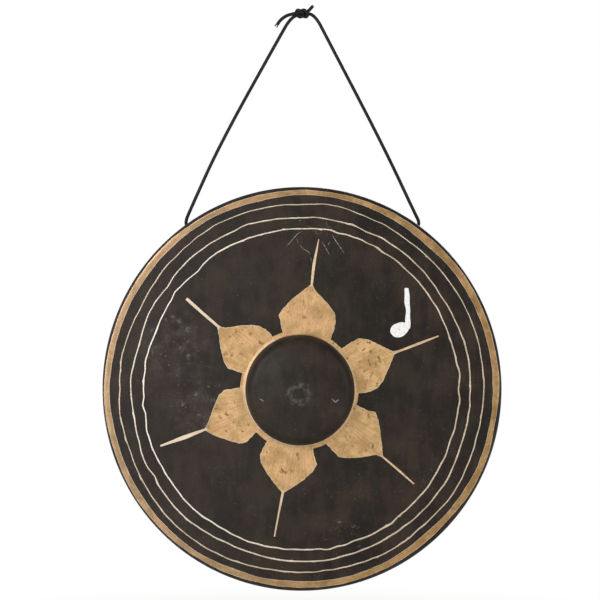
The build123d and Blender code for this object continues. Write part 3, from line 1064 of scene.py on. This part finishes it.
def make_petal(number, direction, end, clockwise, other):
    """A scraped petal on a straight stem, with a painted highlight in paler brass along its outline."""
    turn = math.radians(direction)
    forward = BOSS_SHIFT.x * math.cos(turn) + BOSS_SHIFT.y * math.sin(turn)
    sideways = BOSS_SHIFT.y * math.cos(turn) - BOSS_SHIFT.x * math.sin(turn)
    start = PETAL_FOOT + forward
    out = np.concatenate([np.arange(start, 126, 1.0), np.arange(126, end, 2.0), [end]])
    low = -np.interp(out, (start, *STATIONS, end), clockwise)
    high = np.interp(out, (start, *STATIONS, end), other)
    ragged = np.random.default_rng(70 + number).normal(0, 0.16, (2, len(out)))
    ragged = (ragged + np.roll(ragged, 1, axis=1)) * smoothstep(0.0, 12.0, high - low)
    low, high = (low + ragged[0])[:, None], (high + ragged[1])[:, None]
    inner = np.linspace(0, 1, 29)
    across = low + HIGHLIGHT_EDGE_WIDTH + (high - low - 2 * HIGHLIGHT_EDGE_WIDTH) * inner
    across = np.concatenate([low, across, high], axis=1)
    rounding = PETAL_FOOT - np.sqrt(PETAL_FOOT**2 - (across - sideways) ** 2)
    along = out[:, None] - rounding * (1 - smoothstep(0.0, 16.0, out - start))[:, None]
    x = along * math.cos(turn) - across * math.sin(turn)
    z = along * math.sin(turn) + across * math.cos(turn)
    petal = laid_on_face(f"scraped_petal_{number}", x, z, PETAL_BRASS, raise_by=RAISE + 0.04)
    strips = across.shape[1] - 1
    # painted highlight along the petal's outline
    painted_edge_highlights(petal, len(out) - 1, strips)
    petal.data.materials.append(STEM_BRASS)
    for face in petal.data.polygons[int(np.searchsorted(out, STEM_FROM)) * strips : (len(out) - 1) * strips]:
        face.material_index = 2


def make_mark():
    """A plain sign brushed on in white, as a tuner marks a gong: a round head with a straight stem."""
    head_x, head_z, stem_top = 116.5, 71.0, 119.0
    up = np.linspace(0, 1, 40)[:, None]
    across = np.linspace(-1, 1, 9)
    sway = 0.7 * np.sin(up * 5.0) + 0.3 * np.sin(up * 17.0)
    stem_x = head_x + 9.2 + sway + across * (2.8 + 0.35 * np.sin(up * 11.0))
    stem_z = head_z + 1.0 + up * (stem_top - head_z) + 0.8 * (1 - across**2)
    laid_on_face("painted_stem", stem_x, stem_z, WHITE_PAINT, raise_by=0.2)
    turn = np.linspace(0, 2 * np.pi, 72, endpoint=False)[:, None]
    edge = 1 + 0.04 * np.sin(3 * turn + 1) + 0.01 * np.sin(7 * turn)
    share = np.linspace(0.04, 1, 9)
    u = 11.6 * edge * share * np.cos(turn)
    v = 8.4 * edge * share * np.sin(turn)
    tilt = math.radians(24)
    x = head_x + u * math.cos(tilt) - v * math.sin(tilt)
    z = head_z + u * math.sin(tilt) + v * math.cos(tilt)
    laid_on_face("painted_head", x, z, WHITE_PAINT, wrap=True, raise_by=0.24)


SCRATCHES = [  # half the width, then the line's points from the gong's middle
    (0.35, [(-18, 170.5), (-12, 177.5), (-5, 185.5), (0.5, 188.5)]),
    (0.3, [(-2.5, 172), (1.5, 167), (7, 164.5), (10.5, 160)]),
    (0.25, [(-6.5, 180.5), (-4.5, 174)]),
    (0.4, [(36, 184), (40.5, 176.5), (45.5, 169.5), (51, 161.5)]),
    (0.3, [(23.5, 176), (28, 169.5), (33, 159.5)]),
    (0.25, [(33.5, 176.5), (31, 171.5)]),
    (0.25, [(29, 200), (30, 195)]),
    (0.25, [(10, 158), (11.5, 151.5)]),
    (0.65, [(35, -10), (39.5, -14), (43.5, -11)]),
    (0.55, [(-50, -10.5), (-47.5, -11.5), (-45, -13)]),
]
GOUGES = [  # the same for brown gouges in the petals
    (0.9, [(71, 45.5), (76, 49)]),
    (1.3, [(79, 36), (80.5, 31), (82, 27)]),
    (1.1, [(87.5, 32), (88, 25.5)]),
    (1.7, [(90.5, 40), (92, 35.5), (94, 31)]),
    (0.5, [(83, 21), (86, 17)]),
    (1.4, [(79, -29), (80, -35)]),
    (1.4, [(83, -63), (84.5, -67), (84, -71.5)]),
    (0.7, [(57.5, -67), (62.5, -69)]),
    (0.5, [(66, -58), (69, -58.5)]),
    (1.4, [(-91.5, 45), (-88.5, 41)]),
    (0.6, [(-81, 71), (-76.5, 72)]),
    (0.5, [(-86, 38), (-84, 36)]),
    (0.9, [(-92, -48.5), (-88.5, -52)]),
    (0.5, [(-76, -38), (-75.5, -42)]),
    (0.6, [(-42, -73.5), (-41.5, -77)]),
    (0.5, [(-29, -73), (-28, -76.5)]),
    (0.6, [(3, 96), (4, 101)]),
]


def make_scratch(name, half_width, points, material, raise_by):
    """A thin line that starts and ends in a point."""
    middle, at = evenly(np.array(points, float), 0.8, more=2)
    ahead = np.gradient(middle, axis=0)
    ahead /= np.linalg.norm(ahead, axis=1)[:, None]
    sideways = np.stack([ahead[:, 1], -ahead[:, 0]], -1)
    taper = 0.15 + 0.85 * np.sin(np.pi * at / at[-1]) ** 0.5
    spread = half_width * taper[:, None] * np.linspace(-1, 1, 3)
    places = middle[:, None] + sideways[:, None] * spread[..., None]
    laid_on_face(name, places[..., 0], places[..., 1], material, raise_by=raise_by)


make_rings()
make_boss_collar()
for number, petal in enumerate(PETALS, 1):
    make_petal(number, *petal)
make_mark()
for number, scratch in enumerate(SCRATCHES, 1):
    make_scratch(f"lacquer_scratch_{number}", *scratch, SCRATCH, 0.06)
for number, gouge in enumerate(GOUGES, 1):
    make_scratch(f"petal_gouge_{number}", *gouge, TARNISH, RAISE + 0.08)
